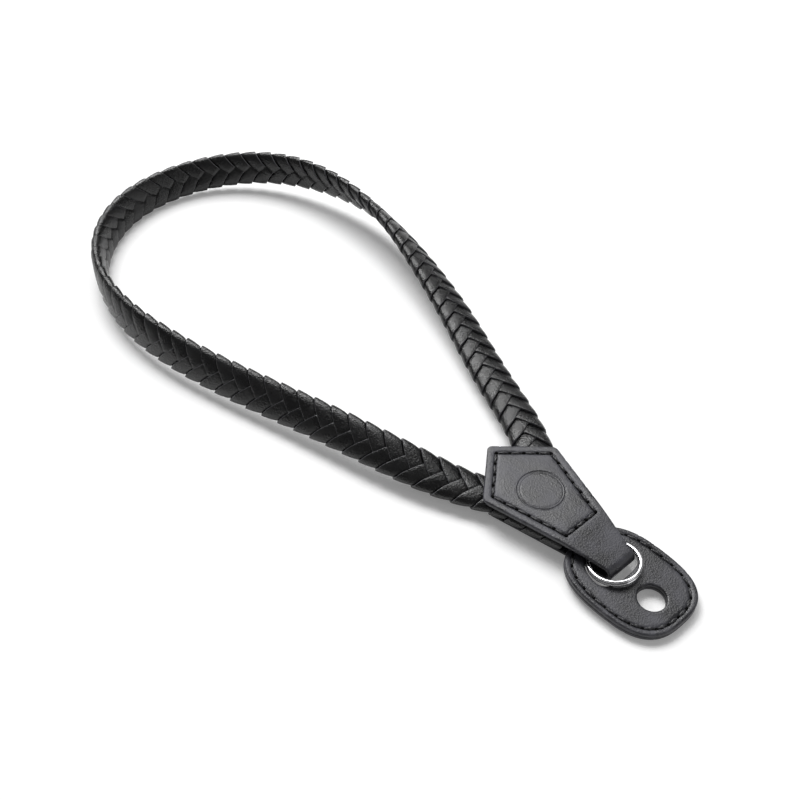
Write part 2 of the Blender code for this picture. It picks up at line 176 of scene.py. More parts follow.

# %% [markdown]
# ## Thread and needle holes
# The seams are sewn with waxed, twisted black thread. Its twist shows as slanted bands, made here by a wave
# texture. The needle holes get a near-black colour, which paints the shade inside them.

# %% Thread and holes
thread, tree, shader = new_material("black_waxed_thread")
place = add(tree, "ShaderNodeTexCoord").outputs["Object"]
twist = add(tree, "ShaderNodeTexWave", {"Vector": place, "Scale": 1 / (2.6 * MM), "Distortion": 1.0},
            wave_type="BANDS", bands_direction="DIAGONAL").outputs["Fac"]
bump = add(tree, "ShaderNodeBump", {"Height": twist, "Strength": 0.5, "Distance": 0.1 * MM})
fibre = add(tree, "ShaderNodeMix", {"Factor": twist, "A": linear("#161618"), "B": linear("#333336")},
            data_type="RGBA")
fill(shader, {"Base Color": fibre, "Roughness": 0.42, "Normal": bump})

# Near-black colour for the needle holes: painted shade inside each small hole.
hole_shade, tree, shader = new_material("painted_hole_shade_black")
place = add(tree, "ShaderNodeTexCoord").outputs["Object"]
speck = add(tree, "ShaderNodeTexNoise", {"Vector": place, "Scale": 1 / (0.2 * MM)})
painted_shade = add(tree, "ShaderNodeMix", {"Factor": speck, "A": linear("#020202"), "B": linear("#070707")},
           data_type="RGBA")
fill(shader, {"Base Color": painted_shade, "Roughness": 0.95, "Specular IOR Level": 0.1})
print("looks for the seams:", thread.name, hole_shade.name)

# %% [markdown]
# ## Steel
# The ring is polished stainless steel, a metal, so its reflections take the colour of its base. Fine rubbing
# makes its gloss a little uneven.

# %% Polished steel
steel, tree, shader = new_material("polished_stainless_steel")
place = add(tree, "ShaderNodeTexCoord").outputs["Object"]
rub = add(tree, "ShaderNodeTexNoise", {"Vector": place, "Scale": 1 / (0.8 * MM), "Detail": 6.0})
gloss = add(tree, "ShaderNodeMapRange", {"Value": rub, "To Min": 0.10, "To Max": 0.24})
fill(shader, {"Base Color": linear("#dcdcde"), "Metallic": 1.0, "Roughness": gloss})
print("look for the ring:", steel.name)

# %% [markdown]
# ## The end cover's outline
# The braid narrows to fit inside the end cover, and leather, lining and seam follow its outline at different
# distances. So one function draws it, set in by any distance. It gives the half on one side of the strap's
# axis, as pairs of a distance from the tip and a half-width.

# %% Half of the cover's outline
ORIGIN_FROM_TIP = 22.0 * MM
COVER_WIDE_AT = 13.5 * MM
COVER_HALF_WIDTH = 15.0 * MM
COVER_LENGTH = 50.9 * MM
TONGUE_HALF_WIDTH = 5.2 * MM
COVER_TAPER = atan2(COVER_HALF_WIDTH - TONGUE_HALF_WIDTH, COVER_LENGTH - COVER_WIDE_AT)
TIP_RADIUS = 1.5 * MM
CORNER_RADIUS = 2.4 * MM
CORNER_STEPS = 6
ON_AXIS = 0.001 * MM


def rounded(corners, radii):
    """A closed outline with each corner replaced by an arc of its radius."""
    outline = []
    for i, radius in enumerate(radii):
        corner = Vector(corners[i])
        back = Vector(corners[i - 1]) - corner
        ahead = Vector(corners[(i + 1) % len(corners)]) - corner
        half = back.angle(ahead) / 2
        reach = min(radius / tan(half), 0.45 * back.length, 0.45 * ahead.length)
        if reach <= 0:
            outline.append(tuple(corner))
            continue
        start = corner + back.normalized() * reach
        end = corner + ahead.normalized() * reach
        centre = corner + (back.normalized() + ahead.normalized()).normalized() * reach / cos(half)
        for k in range(CORNER_STEPS + 1):
            spoke = (start - centre).slerp(end - centre, k / CORNER_STEPS).normalized()
            outline.append(tuple(centre + spoke * reach * tan(half)))
    return outline


def cover_side(inset, tip_radius=TIP_RADIUS, radius=CORNER_RADIUS):
    """Half of the cover's outline, set in by inset, as (distance from the tip, half-width)."""
    slope = atan2(COVER_HALF_WIDTH, COVER_WIDE_AT)
    tip = inset / sin(slope)
    end_half = TONGUE_HALF_WIDTH - inset / cos(COVER_TAPER)
    wide = (end_half + COVER_LENGTH * tan(COVER_TAPER) + tip * tan(slope)) / (tan(slope) + tan(COVER_TAPER))
    wide_half = (wide - tip) * tan(slope)
    corners = [(tip, 0), (wide, -wide_half), (COVER_LENGTH, -end_half), (COVER_LENGTH, end_half),
               (wide, wide_half)]
    outline = rounded(corners, [tip_radius, radius, 0, 0, radius])
    return sorted(point for point in outline if point[1] > -ON_AXIS)


def half_at(side, place):
    """Half-width of a half outline at a distance from the tip."""
    return float(np.interp(place, [u for u, _ in side], [half for _, half in side]))


print("cover", round(COVER_LENGTH / MM, 1), "x", round(2 * COVER_HALF_WIDTH / MM, 1), "mm")

# %% [markdown]
# ## The braid's route
# The braid twists as it goes round the loop: it lies flat where it enters the cover and stands on its edge at
# the far side. A natural spline through a few points gives its middle line, and each point also says how far
# the band leans and how high it rides above the table. The same points shaped the solid band.

# %% The route of the braid
BAND_HALF_WIDTH = 6.1 * MM
BAND_HALF_THICKNESS = 2.25 * MM
BAND_SQUARENESS = 2.6
BAND_HEIGHT = 3.7 * MM
BAND_FROM_RIM = 0.3 * MM
BANDS_APART = 0.25 * MM
LOOP_REACH = 171.0 * MM
LOOP_HALF_BREADTH = 47.3 * MM
ROUTE_STEPS = 320


def covered_point(place, arm):
    """A point of the band inside the cover, on its back arm (1) or front arm (-1)."""
    limit = half_at(cover_side(0), place) - BAND_FROM_RIM
    half = min(BAND_HALF_WIDTH, (limit - BANDS_APART) / 2 * cos(COVER_TAPER))
    return (place - ORIGIN_FROM_TIP, arm * (limit - half / cos(COVER_TAPER)), BAND_HEIGHT, 0.0, half)


def loop_point(x, y, lean, lift):
    """A point of the free loop, from its place in the loop, its lean in degrees and its lift in mm."""
    power = BAND_SQUARENESS / (BAND_SQUARENESS - 1)
    tall = (BAND_HALF_WIDTH * abs(sin(radians(lean)))) ** power
    flat = (BAND_HALF_THICKNESS * abs(cos(radians(lean)))) ** power
    z = lift * MM + (tall + flat) ** (1 / power)
    return (x * LOOP_REACH - ORIGIN_FROM_TIP, y * LOOP_HALF_BREADTH, z, radians(lean), BAND_HALF_WIDTH)


def natural_spline(knots, values):
    """A smooth curve through values at knots, as a function of the place along it."""
    gaps = np.diff(knots)
    count = len(knots)
    system = np.eye(count)
    right = np.zeros_like(values)
    for i in range(1, count - 1):
        system[i, i - 1 : i + 2] = gaps[i - 1], 2 * (gaps[i - 1] + gaps[i]), gaps[i]
        right[i] = 6 * ((values[i + 1] - values[i]) / gaps[i] - (values[i] - values[i - 1]) / gaps[i - 1])
    bend = np.linalg.solve(system, right)

    def at(place):
        i = int(np.clip(np.searchsorted(knots, place) - 1, 0, count - 2))
        before, after = place - knots[i], knots[i + 1] - place
        curve = (bend[i] * after**3 + bend[i + 1] * before**3) / (6 * gaps[i])
        start = (values[i] / gaps[i] - bend[i] * gaps[i] / 6) * after
        end = (values[i + 1] / gaps[i] - bend[i + 1] * gaps[i] / 6) * before
        return curve + start + end

    return at


# Places inside the cover, then points of the loop: shares of its reach and half breadth, lean and lift.
inside = [37.2 * MM, 31.2 * MM, 22.0 * MM, 15.0 * MM]
free = [
    (0.042, 0.258, 1, 1.5), (-0.112, 0.474, 4, 1.5), (-0.268, 0.672, 14, 2.7), (-0.427, 0.835, 32, 4.2),
    (-0.588, 0.932, 56, 5.1), (-0.747, 0.886, 83, 4.7), (-0.888, 0.668, 106, 2.7), (-0.985, 0.201, 117, 0.5),
    (-0.986, -0.406, 113, 0.1), (-0.883, -0.869, 99, 0.8), (-0.727, -1.063, 78, 2.1),
    (-0.559, -1.015, 62, 2.4), (-0.399, -0.850, 52, 2.2), (-0.242, -0.660, 43, 2.8),
    (-0.085, -0.474, 29, 3.0), (0.050, -0.239, 1, 1.5),
]
points = [covered_point(place, 1) for place in inside]
points += [loop_point(*point) for point in free]
points += [covered_point(place, -1) for place in reversed(inside)]
knots = np.array(points)
reach = np.concatenate([[0], np.cumsum(np.linalg.norm(np.diff(knots[:, :3], axis=0), axis=1))])
route = natural_spline(reach, knots)
stations = np.array([route(place) for place in np.linspace(0, reach[-1], ROUTE_STEPS)])
band_length = float(np.sum(np.linalg.norm(np.diff(stations[:, :3], axis=0), axis=1)))
print("braid length", round(band_length, 4), "m")

# %% [markdown]
# ## Meshes from points and faces
# Most pieces are a list of points and a list of faces that name their points by number. Rings of points one
# after the other make a tube, so one function lists a tube's faces, and another builds the mesh.

# %% Helpers for meshes
def turns_of(count):
    """Angles that divide a full turn evenly."""
    return [2 * pi * k / count for k in range(count)]


def ease(share):
    """A share held between 0 and 1, with a soft start and a soft end."""
    held = np.clip(share, 0, 1)
    return held * held * (3 - 2 * held)


def tube_faces(rings, count, start=0):
    """Faces between rings of count points, numbered from start, with both ends filled."""
    last = start + (rings - 1) * count
    faces = [list(range(start, start + count)), list(range(last, last + count))]
    for i in range(start, last, count):
        for k in range(count):
            nxt = (k + 1) % count
            faces.append([i + k, i + nxt, i + count + nxt, i + count + k])
    return faces


def smooth_mesh(name, verts, faces):
    """A smooth mesh of given points and faces, with its normals outwards."""
    bm = bmesh.new()
    made = [bm.verts.new(vert) for vert in verts]
    for face in faces:
        bm.faces.new([made[i] for i in face])
    bmesh.ops.recalc_face_normals(bm, faces=bm.faces)
    mesh = bpy.data.meshes.new(name)
    bm.to_mesh(mesh)
    bm.free()
    mesh.shade_smooth()
    return mesh


def placed(name, data):
    """An object with the given data, in the scene."""
    made = bpy.data.objects.new(name, data)
    bpy.context.collection.objects.link(made)
    return made


def mesh_piece(name, verts, faces, look, body, sharp=35):
    """A finished piece from points and faces, with its look, riding on a body."""
    mesh = smooth_mesh(name, verts, faces)
    mesh.materials.append(look)
    mesh.set_sharp_from_angle(angle=radians(sharp))
    made = placed(name, mesh)
    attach(made, body)
    return made


# %% [markdown]
# ## Guides for the weaving
# Geometry Nodes will wrap flat laces round the band. They need two guide curves: the middle line, whose tilt
# holds the lean and whose radius holds how much the band narrows inside the cover, and the outline of the
# band's cross-section. Both are removed once the laces are made.

# %% The two guide curves
SECTION_STEPS = 192


def guide_curve(name, points, tilts=None, radii=None):
    """A poly curve through points, with a tilt and a radius at each."""
    data = bpy.data.curves.new(name, "CURVE")
    data.dimensions = "3D"
    data.twist_mode = "Z_UP"
    spline = data.splines.new("POLY")
    spline.points.add(len(points) - 1)
    for i, point in enumerate(points):
        spline.points[i].co = (*point, 1.0)
        spline.points[i].tilt = 0.0 if tilts is None else tilts[i]
        spline.points[i].radius = 1.0 if radii is None else radii[i]
    return placed(name, data)


def section_point(turn, width=BAND_HALF_WIDTH, thickness=BAND_HALF_THICKNESS):
    """A point of the band's rounded section; turn starts at the middle of the inner face."""
    power = 2 / BAND_SQUARENESS
    across = abs(sin(turn)) ** power * np.sign(sin(turn)) * width
    out = -abs(cos(turn)) ** power * np.sign(cos(turn)) * thickness
    return float(across), float(out), 0.0


section = [section_point(turn) for turn in turns_of(SECTION_STEPS) + [2 * pi]]
half_girth = float(np.sum(np.linalg.norm(np.diff(np.array(section), axis=0), axis=1))) / 2
route_guide = guide_curve("braid_route", stations[:, :3], stations[:, 3], stations[:, 4] / BAND_HALF_WIDTH)
section_guide = guide_curve("braid_section", section)
print("half girth of the band", round(half_girth / MM, 2), "mm")

# %% [markdown]
# ## One lace
# Each lace comes out from under its neighbours at the middle of the inner face, slants round one edge of the
# band, and dives under them again at the middle of the outer face. Unrolled, it is a slanted strip with both
# ends pushed down. Its back edge lies on the lace behind it, so its cut edge shows as a fine pale line.

# %% The flat lace
LACE_PITCH = 6.0 * MM
LACE_GAP = 0.24 * MM
LACE_THICKNESS = 1.0 * MM
LACE_DIVE_FROM = 0.4 * MM
LACE_DIVE_LENGTH = 2.0 * MM
LACE_DIVE = 1.4 * MM
LACE_LIFT = 0.52 * MM
LACE_SLOPE = 0.70
LACE_SWAY = -0.60 * MM
LACE_BENDS = np.array([-1.9, -1.2, -0.6, -0.2, 0.2, 0.6, 1.1, 1.8]) * MM
LACE_STRAIGHT_FROM = 2.6 * MM
LACE_STRAIGHT_ROWS = 13


def lace_section():
    """Points round the lace's cross-section: (place from back to front edge, height, 1 on the cut edge)."""
    half = LACE_PITCH / 2 - LACE_GAP / 2
    tops = [(-1.0, -0.42, 1), (-0.985, -0.10, 1), (-0.955, -0.01, 1), (-0.91, 0.03, 0), (-0.5, 0.10, 0),
            (0.0, 0.12, 0), (0.5, 0.06, 0), (0.88, -0.06, 0), (0.97, -0.20, 0), (1.0, -0.50, 0)]
    loop = [(half * side, LACE_LIFT * (-0.5 - 0.5 * side) + high * MM, cut) for side, high, cut in tops]
    return loop + [(half * 0.97, -LACE_THICKNESS, 0), (-half * 0.97, -LACE_THICKNESS, 1)]


def lace_point(step, side, high):
    """A point of the flat lace: (place along the band, place round it, height)."""
    into = min(step, half_girth - step)
    sink = ease((LACE_DIVE_FROM - into) / LACE_DIVE_LENGTH) * LACE_DIVE
    around = step - side / 2
    sway = LACE_SWAY * sin(2 * pi * (around / half_girth - 0.5))
    ahead = LACE_SLOPE * (around - half_girth / 2) + side + sway
    return ahead, around, high - sink


laces = round(band_length / LACE_PITCH)
pitch = band_length / laces
straight = np.linspace(LACE_STRAIGHT_FROM, half_girth - LACE_STRAIGHT_FROM, LACE_STRAIGHT_ROWS)
rows = np.concatenate([LACE_BENDS, straight, half_girth - LACE_BENDS[::-1]])
profile = lace_section()
verts = [lace_point(row, side, high) for row in rows for side, high, _ in profile]
lace_mesh = smooth_mesh("flat_lace", verts, tube_faces(len(rows), len(profile)))
cut_marks = lace_mesh.attributes.new("cut", "FLOAT", "POINT")
cut_marks.data.foreach_set("value", [cut for _ in rows for _, _, cut in profile])
flat_lace = placed("flat_lace", lace_mesh)
print(2 * laces, "laces of", len(lace_mesh.polygons), "faces, pitch", round(pitch / MM, 2), "mm")

# %% [markdown]
# ## Trees with named inputs
# Each Geometry Nodes tree gets its sizes through named inputs, so it could also make another size. Its result
# is then turned into a plain mesh, which can ride on a body.

# %% Helpers for Geometry Nodes
def new_tree(name, sizes):
    """A Geometry Nodes tree with named inputs, and the outputs of its input node."""
    tree = bpy.data.node_groups.new(name, "GeometryNodeTree")
    tree.interface.new_socket("Geometry", in_out="INPUT", socket_type="NodeSocketGeometry")
    for label, kind in sizes.items():
        tree.interface.new_socket(label, in_out="INPUT", socket_type="NodeSocket" + kind)
    tree.interface.new_socket("Geometry", in_out="OUTPUT", socket_type="NodeSocketGeometry")
    return tree, add(tree, "NodeGroupInput").outputs


def give(obj, tree, values):
    """Put a tree on an object and set its named inputs by their identifiers."""
    modifier = obj.modifiers.new(tree.name, "NODES")
    modifier.node_group = tree
    for item in tree.interface.items_tree:
        if item.item_type == "SOCKET" and item.in_out == "INPUT" and item.name in values:
            modifier[item.identifier] = values[item.name]


def baked(obj, name, body):
    """The evaluated object as a plain mesh of its own, riding on a body; the source is removed."""
    graph = bpy.context.evaluated_depsgraph_get()
    mesh = bpy.data.meshes.new_from_object(obj.evaluated_get(graph), depsgraph=graph)
    mesh.name = name
    made = placed(name, mesh)
    bpy.data.objects.remove(obj)
    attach(made, body)
    return made


# %% [markdown]
# ## Weaving with Geometry Nodes
# The tree lays one copy of the flat lace at every pitch, and a mirrored set half a pitch further for the
# other edge. Then it bends all of them at once: the second coordinate of each point is looked up on the
# section's outline, the first on the route, and the third lifts it off the surface. The bending turns faces
# inside out, and so does mirroring, so only the first set needs its faces flipped beforehand.

# %% The weaving tree
weave, given = new_tree("weave_laces", {
    "Route": "Object", "Section": "Object", "Count": "Int", "Pitch": "Float", "Half Girth": "Float",
    "Seed": "Int", "Material": "Material"})
step = add(weave, "ShaderNodeCombineXYZ", {"X": given["Pitch"]})
row = add(weave, "GeometryNodeMeshLine", {"Count": given["Count"], "Offset": step})
near_set = add(weave, "GeometryNodeInstanceOnPoints", {"Points": row, "Instance": given["Geometry"]})
# Each lace gets a random shade: painted shade in place of the light each lace would catch at its own tilt.
random_tilt_shade = add(weave, "FunctionNodeRandomValue", {"Seed": given["Seed"]}, data_type="FLOAT")
shaded = add(weave, "GeometryNodeStoreNamedAttribute",
             {"Geometry": near_set, "Name": "shade", "Value": random_tilt_shade}, data_type="FLOAT", domain="INSTANCE")
near_real = add(weave, "GeometryNodeRealizeInstances", {"Geometry": shaded})
near_flipped = add(weave, "GeometryNodeFlipFaces", {"Mesh": near_real})
half_pitch = add(weave, "ShaderNodeMath", {0: given["Pitch"], 1: 0.5}, operation="MULTIPLY")
girth = add(weave, "ShaderNodeMath", {0: given["Half Girth"], 1: 2.0}, operation="MULTIPLY")
offset = add(weave, "ShaderNodeCombineXYZ", {"X": half_pitch, "Y": girth})
mirrored = add(weave, "GeometryNodeTransform",
               {"Geometry": near_real, "Scale": (1.0, -1.0, 1.0), "Translation": offset})
both = add(weave, "GeometryNodeJoinGeometry", {"Geometry": near_flipped})
fill(both, {"Geometry": mirrored})
flat = add(weave, "ShaderNodeSeparateXYZ", {"Vector": add(weave, "GeometryNodeInputPosition")}).outputs
around = add(weave, "ShaderNodeMath", {0: flat["Y"], 1: girth}, operation="FLOORED_MODULO")
section_info = add(weave, "GeometryNodeObjectInfo", {"Object": given["Section"]}).outputs["Geometry"]
outline = add(weave, "GeometryNodeSampleCurve", {"Curves": section_info, "Length": around},
              mode="LENGTH").outputs
edge = add(weave, "ShaderNodeSeparateXYZ", {"Vector": outline["Tangent"]}).outputs
flip = add(weave, "ShaderNodeMath", {0: edge["X"], 1: -1.0}, operation="MULTIPLY")
proud = add(weave, "ShaderNodeCombineXYZ", {"X": edge["Y"], "Y": flip})
raised = add(weave, "ShaderNodeVectorMath", {0: proud, "Scale": flat["Z"]}, operation="SCALE")
wrapped = add(weave, "ShaderNodeVectorMath", {0: outline["Position"], 1: raised}, operation="ADD")
spot = add(weave, "ShaderNodeSeparateXYZ", {"Vector": wrapped}).outputs
route_info = add(weave, "GeometryNodeObjectInfo", {"Object": given["Route"]}).outputs["Geometry"]
radius = add(weave, "GeometryNodeInputRadius")
line = add(weave, "GeometryNodeSampleCurve", {"Curves": route_info, "Length": flat["X"], "Value": radius},
           mode="LENGTH").outputs
width = add(weave, "ShaderNodeVectorMath", {0: line["Normal"], "Scale": -1.0}, operation="SCALE")
outward = add(weave, "ShaderNodeVectorMath", {0: line["Tangent"], 1: width}, operation="CROSS_PRODUCT")
narrowed = add(weave, "ShaderNodeMath", {0: spot["X"], 1: line["Value"]}, operation="MULTIPLY")
sideways = add(weave, "ShaderNodeVectorMath", {0: width, "Scale": narrowed}, operation="SCALE")
upwards = add(weave, "ShaderNodeVectorMath", {0: outward, "Scale": spot["Y"]}, operation="SCALE")
moved = add(weave, "ShaderNodeVectorMath", {0: line["Position"], 1: sideways}, operation="ADD")
final = add(weave, "ShaderNodeVectorMath", {0: moved, 1: upwards}, operation="ADD")
bent = add(weave, "GeometryNodeSetPosition", {"Geometry": both, "Position": final})
real = add(weave, "GeometryNodeRealizeInstances", {"Geometry": bent})
painted = add(weave, "GeometryNodeSetMaterial", {"Geometry": real, "Material": given["Material"]})
add(weave, "NodeGroupOutput", {"Geometry": painted})
print("weaving tree:", len(weave.nodes), "nodes")

# %% [markdown]
# ## The woven laces
# Now the tree goes onto the flat lace with the sizes of this band, and the result takes the place of the
# solid band. Only edges sharper than 50 degrees stay sharp.

# %% Weave the laces
LACE_SHARP = radians(50)
give(flat_lace, weave, {
    "Route": route_guide, "Section": section_guide, "Count": laces, "Pitch": pitch, "Half Girth": half_girth,
    "Seed": 3, "Material": lace_leather})
woven = baked(flat_lace, "woven_laces", "strap")
woven.data.set_sharp_from_angle(angle=LACE_SHARP)
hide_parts("braided_band")
for guide in (route_guide, section_guide):
    bpy.data.objects.remove(guide)
print("woven laces:", len(woven.data.polygons), "faces")

# %% [markdown]
# ## The braid's filling
# A real braid of this kind has a filling that keeps it full. It hardly shows, but it closes the small gaps
# between the laces, so that no light comes through. It is a tube a little smaller than the braid, coloured
# near-black with the needle holes' colour: painted shade that darkens the gaps between the laces.

# %% The filling
FILLING_SIDES = 16
FILLING_NARROWER = 0.8 * MM
FILLING_THINNER = 0.75 * MM
verts = []
for i in range(1, ROUTE_STEPS - 1, 2):
    x, y, z, lean, half = stations[i]
    ahead = Vector(stations[i + 1][:3] - stations[i - 1][:3]).normalized()
    inward = Vector((0, 0, 1)).cross(ahead).normalized()
    up = ahead.cross(inward)
    across = inward * cos(lean) + up * sin(lean)
    outwards = up * cos(lean) - inward * sin(lean)
    for turn in turns_of(FILLING_SIDES):
        side, out, _ = section_point(turn, half - FILLING_NARROWER, BAND_HALF_THICKNESS - FILLING_THINNER)
        verts.append(Vector((x, y, z)) + across * side + outwards * out)
faces = tube_faces(len(verts) // FILLING_SIDES, FILLING_SIDES)
# Near-black filling: painted shade seen in the gaps between the laces.
filling_gap_shade = mesh_piece("braid_filling", verts, faces, hole_shade, "strap")
print("filling:", len(faces), "faces")

# %% [markdown]
# ## Lines on a flat sheet
# Leather is flat before it is folded, so each piece is drawn flat: an outline, holes, and lines where its
# surface changes, such as a pressed seam. These functions measure and copy such lines.

# %% Helpers for closed lines
def distance_to(lines, points):
    """Shortest distance from each point to any of the closed lines."""
    best = np.full(len(points), 1.0)
    for line in lines:
        start = np.array(line)
        span = np.roll(start, -1, axis=0) - start
        for a, d in zip(start, span):
            t = np.clip(((points - a) @ d) / max(d @ d, 1e-18), 0, 1)
            best = np.minimum(best, np.linalg.norm(points - a - t[:, None] * d, axis=1))
    return best


def within(line, points):
    """Which points lie inside a closed line."""
    inside = np.zeros(len(points), bool)
    line = np.array(line)
    for (x0, y0), (x1, y1) in zip(line, np.roll(line, -1, axis=0)):
        if y0 == y1:
            continue
        crosses = (y0 > points[:, 1]) != (y1 > points[:, 1])
        inside ^= crosses & (points[:, 0] < (x1 - x0) * (points[:, 1] - y0) / (y1 - y0) + x0)
    return inside


def offset_line(line, distance):
    """A closed line moved sideways by a distance, inwards for one drawn anticlockwise."""
    points = np.array(line)
    ahead = np.roll(points, -1, axis=0) - points
    ahead /= np.linalg.norm(ahead, axis=1)[:, None]
    along = ahead + np.roll(ahead, 1, axis=0)
    along /= np.linalg.norm(along, axis=1)[:, None]
    sideways = np.column_stack([-along[:, 1], along[:, 0]]) / np.sum(along * ahead, axis=1)[:, None]
    return points + sideways * distance


def anticlockwise(line):
    """The same closed line, turned so that it runs anticlockwise."""
    points = np.array(line)
    nxt = np.roll(points, -1, axis=0)
    area = np.sum(points[:, 0] * nxt[:, 1] - nxt[:, 0] * points[:, 1])
    return points if area > 0 else points[::-1]


def finely(line, spacing):
    """A closed line with its long sides divided."""
    out = []
    line = np.array(line)
    for a, b in zip(line, np.roll(line, -1, axis=0)):
        pieces = max(1, round(float(np.linalg.norm(b - a)) / spacing))
        out += [a + (b - a) * k / pieces for k in range(pieces)]
    return np.array(out)


def whole(side):
    """A closed outline from one half of it, without its points on the axis."""
    half_line = [(u, half) for u, half in side if half > ON_AXIS]
    return half_line + [(u, -half) for u, half in reversed(half_line)]


def cut_at(side, end):
    """A half outline up to a distance from the tip, with a point there."""
    return [point for point in side if point[0] < end] + [(end, half_at(side, end))]


# %% [markdown]
# ## Sheets of leather
# A Delaunay triangulation joins the outline, the holes and the lines into one flat mesh, with small triangles
# only where there is detail. Then a height for each point presses the seams and rounds the edges, and a last
# function folds the sheet into place.

# %% Sheets from a flat pattern
RIM_ROWS = (0.10 * MM, 0.26 * MM, 0.50 * MM)
RIM_CLEARANCE = 0.06 * MM
MERGE_DISTANCE = 0.01 * MM
SHEET_SHARP = 60


def in_sheet(outline, holes, points):
    """Which points lie inside the outline and outside every hole."""
    inside = within(outline, points)
    for hole in holes:
        inside &= ~within(hole, points)
    return inside


def flat_mesh(outline, holes, lines, grid):
    """Points and triangles of a flat sheet, with points on the lines, beside the rims and on a grid."""
    rims = [outline] + holes
    points = [tuple(p) for rim in rims for p in rim]
    edges = []
    start = 0
    for rim in rims:
        edges += [(start + k, start + (k + 1) % len(rim)) for k in range(len(rim))]
        start += len(rim)
    extra = [p for line in lines for p in line]
    for distance in RIM_ROWS:
        extra += list(offset_line(outline, distance))
        for hole in holes:
            extra += list(offset_line(hole, -distance))
    low, high = outline.min(axis=0), outline.max(axis=0)
    for i, y in enumerate(np.arange(low[1], high[1], grid)):
        extra += [(x + (i % 2) * grid / 2, y) for x in np.arange(low[0], high[0], grid)]
    extra = np.array(extra)
    keep = (distance_to(rims, extra) > RIM_CLEARANCE) & in_sheet(outline, holes, extra)
    points += [tuple(p) for p in extra[keep]]
    found = delaunay_2d_cdt([Vector(p) for p in points], edges, [], 0, MERGE_DISTANCE)
    flat = np.array([tuple(p) for p in found[0]])
    middles = np.array([flat[list(t)].mean(axis=0) for t in found[2]])
    solid = in_sheet(outline, holes, middles)
    return flat, [list(t) for t, ok in zip(found[2], solid) if ok]


def sheet_piece(name, outline, holes, lines, grid, top, bottom, fold, body):
    """A closed sheet: top and bottom give heights at flat points, and fold takes them into space."""
    outline = finely(anticlockwise(outline), grid)
    holes = [anticlockwise(hole) for hole in holes]
    flat, triangles = flat_mesh(outline, holes, lines, grid)
    rim = distance_to([outline] + holes, flat)
    verts = [fold(p, h) for side in (top, bottom) for p, h in zip(flat, side(flat, rim))]
    count = len(flat)
    faces = triangles + [[i + count for i in reversed(t)] for t in triangles]
    sides = [(a, b) for t in triangles for a, b in zip(t, t[1:] + t[:1])]
    known = set(sides)
    faces += [[a, b, b + count, a + count] for a, b in sides if (b, a) not in known]
    used = sorted({i for face in faces for i in face})
    number = {old: new for new, old in enumerate(used)}
    faces = [[number[i] for i in face] for face in faces]
    made = mesh_piece(name, [verts[i] for i in used], faces, leather, body, SHEET_SHARP)
    print(name, len(made.data.polygons), "faces")
    return made


def rounding(distance, radius):
    """How far a rounded rim lies below the flat face at a distance from the edge."""
    near = np.clip(radius - distance, 0, radius)
    return radius - np.sqrt(np.maximum(radius**2 - near**2, 0))


def pressed(distance, half_width):
    """A soft groove: 1 at its middle, 0 beyond its half-width."""
    return ease(1 - distance / half_width)


# %% [markdown]
# ## The end cover's side view
# One strip of leather makes the whole end: it starts as the pentagon on top, narrows to a tongue, folds round
# the ring and the flap's bridge, and comes back below the braid as a slightly smaller pentagon. Its side view
# is a line that bends down at the tongue, turns round the fold and comes back along the table.

# %% The strip's side view
LEATHER = 1.2 * MM
COVER_TOP = 8.35 * MM
TONGUE_BEND_AT = 37.5 * MM
FOLD_RADIUS = 2.55 * MM
FOLD_HEIGHT = 4.25 * MM
UNDER_RISE_LENGTH = 4.4 * MM
HEEL = ((1.0, 0.35), (0.2, 0.06), (-0.8, 0.0))
RUN_OUT = 0.5 * MM
KNEE_REACH = 3.0 * MM
KNEE_STEPS = 7
ARC_STEPS = 40


def side_view():
    """The strip's middle line as (x from the tip, height), from the tip over the fold and back."""
    reach = FOLD_RADIUS - LEATHER / 2
    fold = Vector((COVER_LENGTH, FOLD_HEIGHT))
    bend = Vector((TONGUE_BEND_AT, COVER_TOP - LEATHER / 2))
    rise = Vector((COVER_LENGTH - UNDER_RISE_LENGTH, LEATHER / 2))
    down, up = fold - bend, fold - rise
    first = atan2(down.y, down.x) + asin(reach / down.length) + pi / 2
    last = atan2(up.y, up.x) - asin(reach / up.length) - pi / 2
    arc = [fold + Vector((cos(turn), sin(turn))) * reach for turn in np.linspace(first, last, ARC_STEPS)]
    fall = tan(pi / 2 - first) * KNEE_REACH
    knee = [bend + Vector((KNEE_REACH * s, -fall * (s + 1) ** 2 / 4)) for s in np.linspace(-1, 1, KNEE_STEPS)]
    heel = [rise + Vector(point) * MM for point in HEEL]
    ends = Vector((-RUN_OUT, COVER_TOP - LEATHER / 2)), Vector((RUN_OUT, LEATHER / 2))
    return np.array([tuple(p) for p in [ends[0], *knee, *arc, *heel, ends[1]]])


path = side_view()
travel = np.concatenate([[0], np.cumsum(np.linalg.norm(np.diff(path, axis=0), axis=1))]) + path[0, 0]
fold_start = travel[1 + KNEE_STEPS]
fold_end = travel[KNEE_STEPS + ARC_STEPS]
strip_end = travel[-1]
print("the fold begins", round(fold_start / MM, 1), "mm from the tip")

# %% [markdown]
# ## The strip, drawn flat
# Laid out flat, the strip has the top pentagon at one end and the smaller one at the other, with the tongue
# between them. The seam is drawn on both pentagons, so that the two lines meet once the strip is folded.

# %% The strip's outline and seam
UNDER_INSET = 1.8 * MM
UNDER_HALF_WIDTH = 5.0 * MM
UNDER_NECK_FROM = 20 * MM
STRIP_STEP = 0.5 * MM
SEAM_INSET = 2.7 * MM
SEAM_END_AT = 37.2 * MM
SEAM_TIP_RADIUS = 0.3 * MM
SEAM_CORNER_RADIUS = 0.5 * MM


